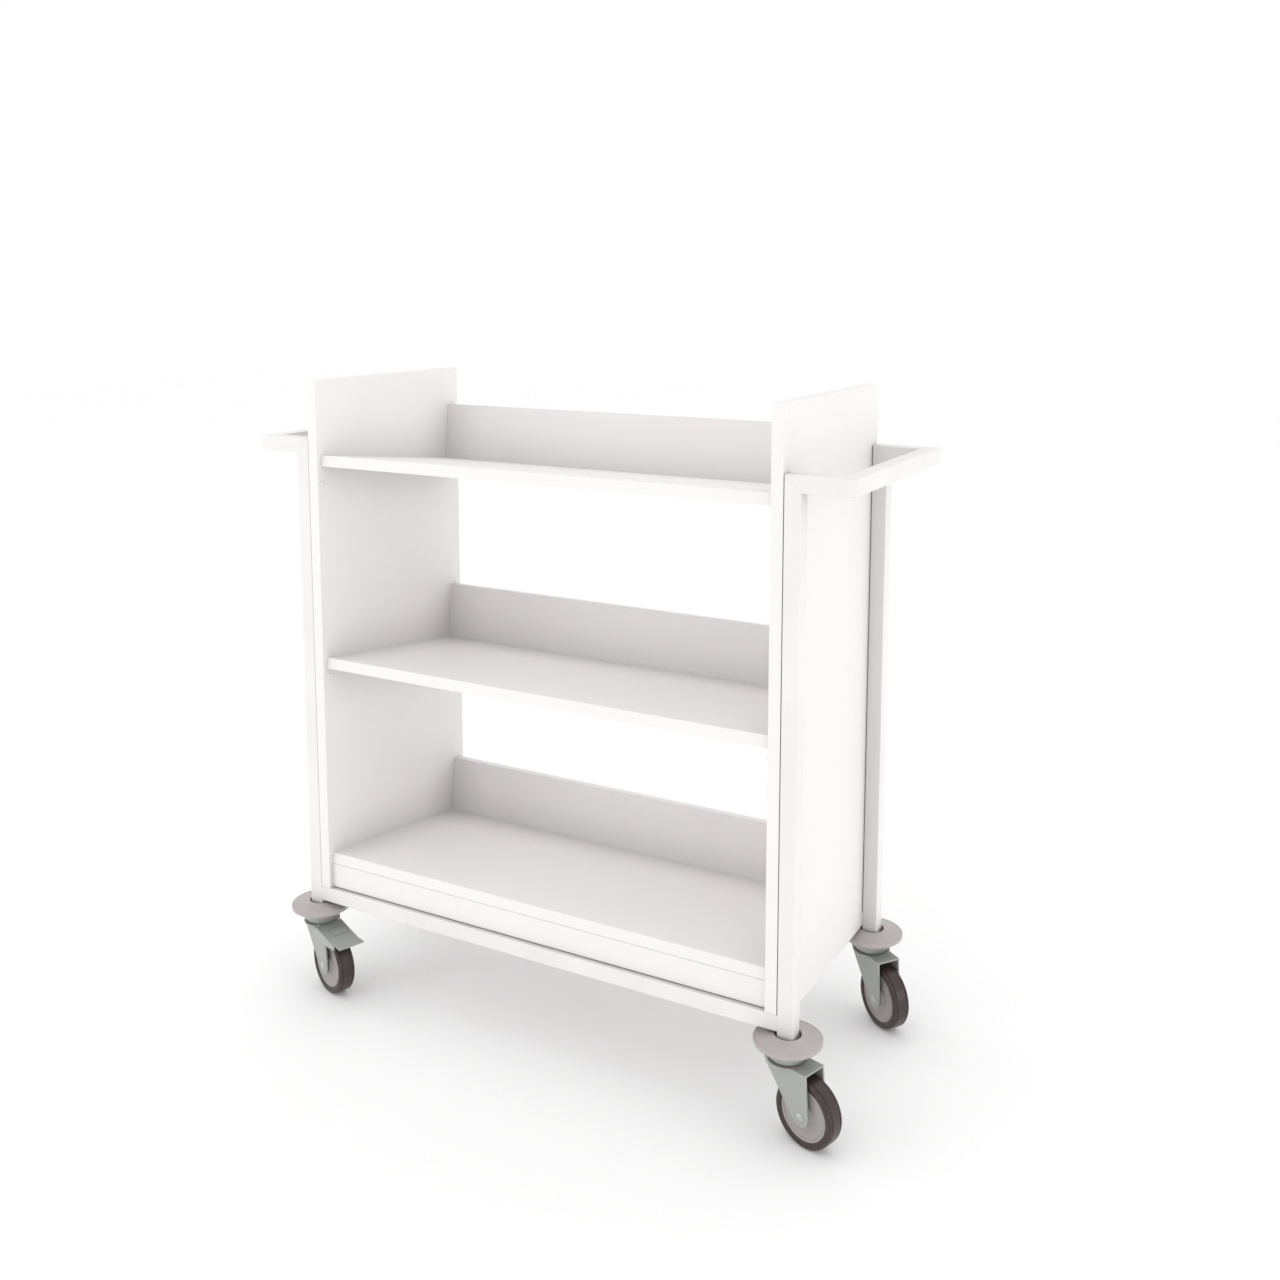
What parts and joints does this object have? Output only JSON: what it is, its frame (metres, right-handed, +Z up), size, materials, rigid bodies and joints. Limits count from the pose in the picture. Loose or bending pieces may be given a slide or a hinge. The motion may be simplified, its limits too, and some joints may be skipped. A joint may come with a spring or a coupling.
{
  "type": "linen trolley",
  "caption": "Open ward trolley with back-tilted board shelves between board sides in a white square-tube frame, with a push handle at each end, on swivel casters, some with a pedal brake.",
  "frame": {"origin": "on the floor at the centre of the footprint", "axes": "+Z up; the open front faces -Y; a push handle at each X end; left is -X"},
  "size_m": [1.0438, 0.4673, 1.045],
  "materials": {
    "white_board": "white melamine-faced board, matt",
    "white_tube": "white powder coat, satin",
    "white_screw": "white-headed screws, satin",
    "dowel_wood": "bare beech",
    "zinc_steel": "zinc plated",
    "grey_bumper": "warm grey moulded plastic, matt",
    "grey_paint": "grey-green paint, satin",
    "grey_hub": "grey moulded plastic",
    "dark_tyre": "dark brown-grey elastic rubber",
    "black_rubber": "black rubber, matt"
  },
  "bodies": {
    "frame": {"side_panel_left": "white_board", "side_panel_right": "white_board", "top_shelf": "white_board", "middle_shelf": "white_board", "bottom_shelf": "white_board", "top_upstand": "white_board", "middle_upstand": "white_board", "bottom_upstand": "white_board", "fascia_board": "white_board", "front_left_post": "white_tube", "front_right_post": "white_tube", "rear_left_post": "white_tube", "rear_right_post": "white_tube", "left_handle_front_arm": "white_tube", "left_handle_bar": "white_tube", "left_handle_rear_arm": "white_tube", "right_handle_front_arm": "white_tube", "right_handle_bar": "white_tube", "right_handle_rear_arm": "white_tube", "front_rail": "white_tube", "rear_rail": "white_tube", "panel_screws": "white_screw", "shelf_dowels": "dowel_wood", "upstand_screws": "zinc_steel", "front_left_bumper_disc": "grey_bumper", "front_left_stem": "zinc_steel", "front_right_bumper_disc": "grey_bumper", "front_right_stem": "zinc_steel", "rear_left_bumper_disc": "grey_bumper", "rear_left_stem": "zinc_steel", "rear_right_bumper_disc": "grey_bumper", "rear_right_stem": "zinc_steel"},
    "front_left_caster": {"front_left_swivel_head": "grey_paint", "front_left_fork": "grey_paint", "front_left_axle_bolt": "zinc_steel", "front_left_pedal_pin": "zinc_steel"},
    "front_left_wheel": {"front_left_wheel_hub": "grey_hub", "front_left_tyre": "dark_tyre"},
    "front_left_pedal": {"front_left_brake_pedal": "grey_paint", "front_left_brake_shoe": "black_rubber"},
    "front_right_caster": {"front_right_swivel_head": "grey_paint", "front_right_fork": "grey_paint", "front_right_axle_bolt": "zinc_steel"},
    "front_right_wheel": {"front_right_wheel_hub": "grey_hub", "front_right_tyre": "dark_tyre"},
    "rear_left_caster": {"rear_left_swivel_head": "grey_paint", "rear_left_fork": "grey_paint", "rear_left_axle_bolt": "zinc_steel", "rear_left_pedal_pin": "zinc_steel"},
    "rear_left_wheel": {"rear_left_wheel_hub": "grey_hub", "rear_left_tyre": "dark_tyre"},
    "rear_left_pedal": {"rear_left_brake_pedal": "grey_paint", "rear_left_brake_shoe": "black_rubber"},
    "rear_right_caster": {"rear_right_swivel_head": "grey_paint", "rear_right_fork": "grey_paint", "rear_right_axle_bolt": "zinc_steel"},
    "rear_right_wheel": {"rear_right_wheel_hub": "grey_hub", "rear_right_tyre": "dark_tyre"}
  },
  "joints": [
    {"name": "front_left_swivel", "type": "hinge", "parent": "frame", "child": "front_left_caster", "pos_m": [-0.4328, -0.1785, 0.11], "axis": [0, 0, 1], "continuous": true},
    {"name": "front_left_wheel_spin", "type": "hinge", "parent": "front_left_caster", "child": "front_left_wheel", "pos_m": [-0.39639, -0.19248, 0.05], "axis": [0.3584, 0.9336, 0], "continuous": true},
    {"name": "front_left_brake", "type": "hinge", "parent": "front_left_caster", "child": "front_left_pedal", "pos_m": [-0.41413, -0.18567, 0.101], "axis": [0.3584, 0.9336, 0], "range_deg": [0, 8]},
    {"name": "front_right_swivel", "type": "hinge", "parent": "frame", "child": "front_right_caster", "pos_m": [0.4328, -0.1785, 0.11], "axis": [0, 0, 1], "continuous": true},
    {"name": "front_right_wheel_spin", "type": "hinge", "parent": "front_right_caster", "child": "front_right_wheel", "pos_m": [0.4701, -0.1899, 0.05], "axis": [0.2924, 0.9563, 0], "continuous": true},
    {"name": "rear_left_swivel", "type": "hinge", "parent": "frame", "child": "rear_left_caster", "pos_m": [-0.4328, 0.1785, 0.11], "axis": [0, 0, 1], "continuous": true},
    {"name": "rear_left_wheel_spin", "type": "hinge", "parent": "rear_left_caster", "child": "rear_left_wheel", "pos_m": [-0.39571, 0.19055, 0.05], "axis": [-0.309, 0.9511, 0], "continuous": true},
    {"name": "rear_left_brake", "type": "hinge", "parent": "rear_left_caster", "child": "rear_left_pedal", "pos_m": [-0.41378, 0.18468, 0.101], "axis": [-0.309, 0.9511, 0], "range_deg": [0, 8]},
    {"name": "rear_right_swivel", "type": "hinge", "parent": "frame", "child": "rear_right_caster", "pos_m": [0.4328, 0.1785, 0.11], "axis": [0, 0, 1], "continuous": true},
    {"name": "rear_right_wheel_spin", "type": "hinge", "parent": "rear_right_caster", "child": "rear_right_wheel", "pos_m": [0.46435, 0.15558, 0.05], "axis": [0.5878, 0.809, 0], "continuous": true}
  ]
}
